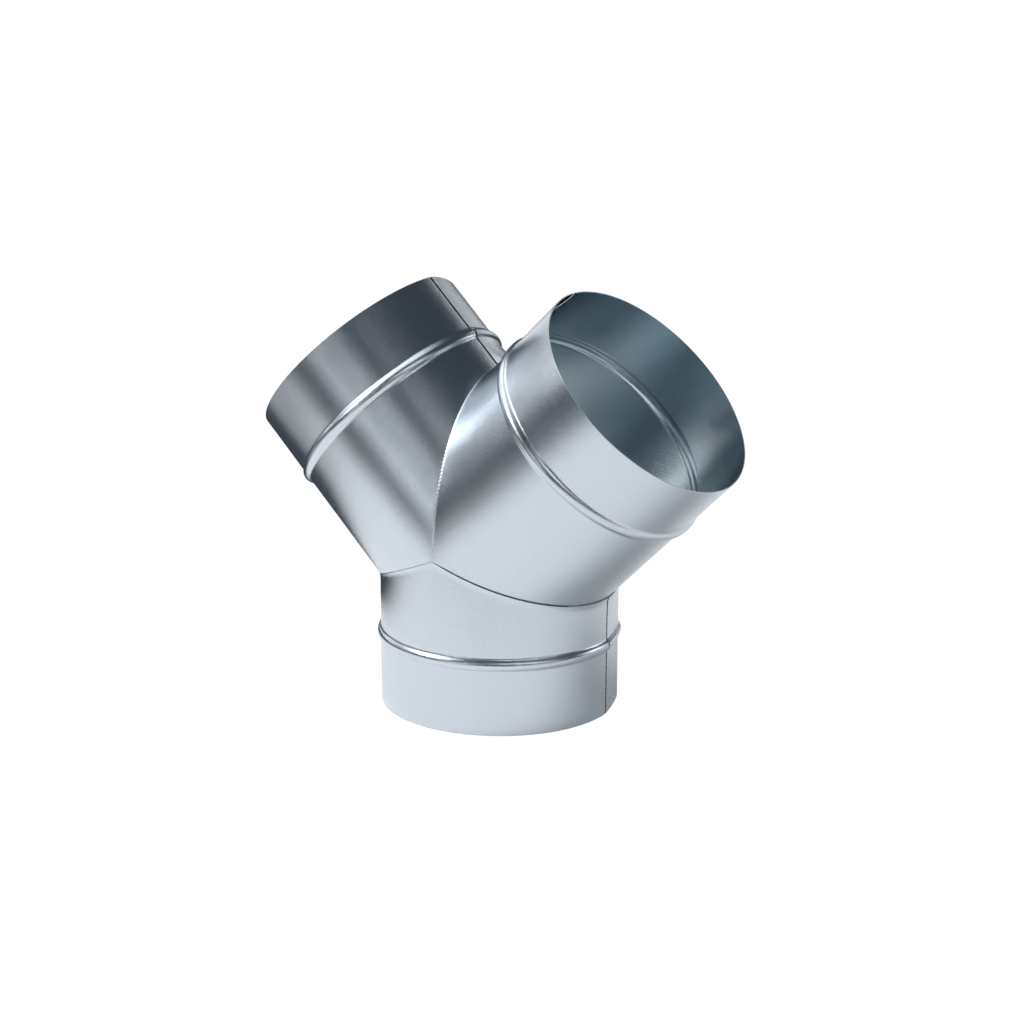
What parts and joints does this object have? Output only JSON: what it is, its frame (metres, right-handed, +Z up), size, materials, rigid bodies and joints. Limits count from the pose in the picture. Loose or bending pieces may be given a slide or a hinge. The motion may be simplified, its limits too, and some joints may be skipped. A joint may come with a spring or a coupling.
{
  "type": "duct wye",
  "caption": "Symmetrical galvanised steel wye for round ventilation duct: an upright trunk splits into branches leaning 45 degrees, each tube ending in a plain spigot behind a rolled bead.",
  "frame": {"origin": "centre of the trunk mouth, on the surface that the part stands on", "axes": "+Z up along the trunk axis, both branches in the XZ plane, the right branch leaning towards +X"},
  "size_m": [0.3124, 0.1532, 0.2627],
  "materials": {
    "galvanised_sheet": "bright skin-passed galvanised sheet, satin to glossy, with a fine grain"
  },
  "bodies": {
    "root": {"trunk": "galvanised_sheet", "right_branch": "galvanised_sheet", "left_branch": "galvanised_sheet"}
  },
  "joints": []
}
